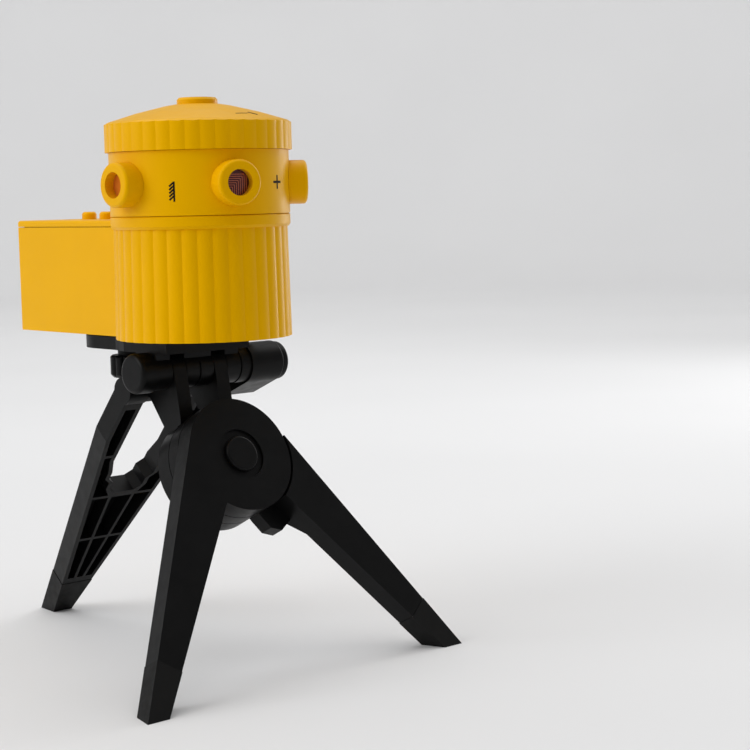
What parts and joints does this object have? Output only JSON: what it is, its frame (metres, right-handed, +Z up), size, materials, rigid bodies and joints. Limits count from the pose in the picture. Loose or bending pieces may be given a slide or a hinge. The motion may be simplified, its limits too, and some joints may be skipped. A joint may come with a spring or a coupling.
{
  "type": "laser level on tripod",
  "caption": "Turret laser level with a fluted round head and battery box on a folding black mini tripod with tilt hinge, clamp lever and thumb screw.",
  "frame": {"origin": "floor plane, under the middle of the whole object's box", "axes": "+Z up, +Y from the head towards the battery box, +X along the tilt hinge towards the clamp lever"},
  "size_m": [0.1404, 0.1688, 0.2],
  "materials": {
    "yellow_plastic": "satin moulded ABS",
    "black_plastic": "semi-matte moulded nylon",
    "foot_rubber": "matte",
    "steel": "zinc plated",
    "contact_metal": "nickel plated",
    "brass": "machined",
    "laser_lens": "line grating",
    "vial_glass": "clear acrylic",
    "vial_fluid": "tinted spirit",
    "board": "solder mask",
    "cell_jacket": "plain jacket"
  },
  "bodies": {
    "neck": {"neck": "black_plastic", "hub_pin": "steel", "hub_pin_cap": "black_plastic", "hub_retaining_ring": "steel", "rear_leg_pin": "steel"},
    "leg_left": {"leg_left": "black_plastic", "foot_left": "foot_rubber"},
    "leg_right": {"leg_right": "black_plastic", "foot_right": "foot_rubber"},
    "leg_rear": {"leg_rear": "black_plastic", "foot_rear": "foot_rubber"},
    "platform": {"platform": "black_plastic", "platform_pad": "foot_rubber", "hinge_bolt": "steel", "hinge_bolt_cap": "black_plastic"},
    "clamp_lever": {"clamp_lever": "black_plastic", "lever_nut": "steel", "lever_cap": "black_plastic"},
    "thumb_wheel": {"thumb_wheel": "black_plastic", "camera_screw": "steel"},
    "head_base": {"base_housing": "yellow_plastic", "bottom_cover": "yellow_plastic", "cover_screws": "steel", "tripod_nut": "brass", "box_lid": "yellow_plastic", "vial_tube": "vial_glass", "vial_fluid": "vial_fluid", "circuit_board": "board", "tact_switches": "black_plastic", "laser_module": "brass", "laser_collimator": "laser_lens", "battery_cell_1": "cell_jacket", "battery_cell_2": "cell_jacket", "battery_holder": "black_plastic", "contact_plates": "contact_metal", "contact_spring": "contact_metal", "spindle_washer": "steel", "spindle_screw": "steel"},
    "battery_door": {"battery_door": "yellow_plastic", "door_contact": "contact_metal"},
    "turret": {"turret_ring": "yellow_plastic", "turret_cap": "yellow_plastic", "cap_plug": "yellow_plastic", "nozzle_1": "yellow_plastic", "lens_1": "laser_lens", "nozzle_2": "yellow_plastic", "lens_2": "laser_lens", "nozzle_3": "yellow_plastic", "lens_3": "laser_lens", "nozzle_4": "yellow_plastic", "lens_4": "laser_lens", "nozzle_5": "yellow_plastic", "lens_5": "laser_lens"},
    "button_1": {"button_1": "yellow_plastic"},
    "button_2": {"button_2": "yellow_plastic"}
  },
  "joints": [
    {"name": "leg_left_fold", "type": "hinge", "parent": "neck", "child": "leg_left", "pos_m": [0, -0.0467, 0.0749], "axis": [0, 0.8942, -0.4478], "range_deg": [-36.2, 0]},
    {"name": "leg_right_fold", "type": "hinge", "parent": "neck", "child": "leg_right", "pos_m": [0, -0.0467, 0.0749], "axis": [0, 0.8942, -0.4478], "range_deg": [0, 36.2]},
    {"name": "leg_rear_fold", "type": "hinge", "parent": "neck", "child": "leg_rear", "pos_m": [0, -0.0046, 0.096], "axis": [1, 0, 0], "range_deg": [-67.5, 0]},
    {"name": "platform_tilt", "type": "hinge", "parent": "neck", "child": "platform", "pos_m": [0, -0.018, 0.1034], "axis": [1, 0, 0], "range_deg": [-35, 58]},
    {"name": "clamp_lever_turn", "type": "hinge", "parent": "platform", "child": "clamp_lever", "pos_m": [0, -0.018, 0.1034], "axis": [1, 0, 0], "range_deg": [-40, 70]},
    {"name": "thumb_wheel_turn", "type": "hinge", "parent": "platform", "child": "thumb_wheel", "pos_m": [0, 0.0185, 0], "axis": [0, 0, 1], "continuous": true},
    {"name": "head_swivel", "type": "hinge", "parent": "platform", "child": "head_base", "pos_m": [0, 0.0185, 0], "axis": [0, 0, 1], "continuous": true},
    {"name": "turret_turn", "type": "hinge", "parent": "head_base", "child": "turret", "pos_m": [0, -0.0275, 0], "axis": [0, 0, 1], "continuous": true},
    {"name": "battery_door_flap", "type": "hinge", "parent": "head_base", "child": "battery_door", "pos_m": [0, 0.0656, 0.123], "axis": [1, 0, 0], "range_deg": [-100, 0]},
    {"name": "button_1_press", "type": "slide", "parent": "head_base", "child": "button_1", "axis": [0, 0, -1], "range_m": [0, 0.001], "stiffness_N_per_m": 500, "springref_m": -0.0005},
    {"name": "button_2_press", "type": "slide", "parent": "head_base", "child": "button_2", "axis": [0, 0, -1], "range_m": [0, 0.001], "stiffness_N_per_m": 500, "springref_m": -0.0005}
  ]
}
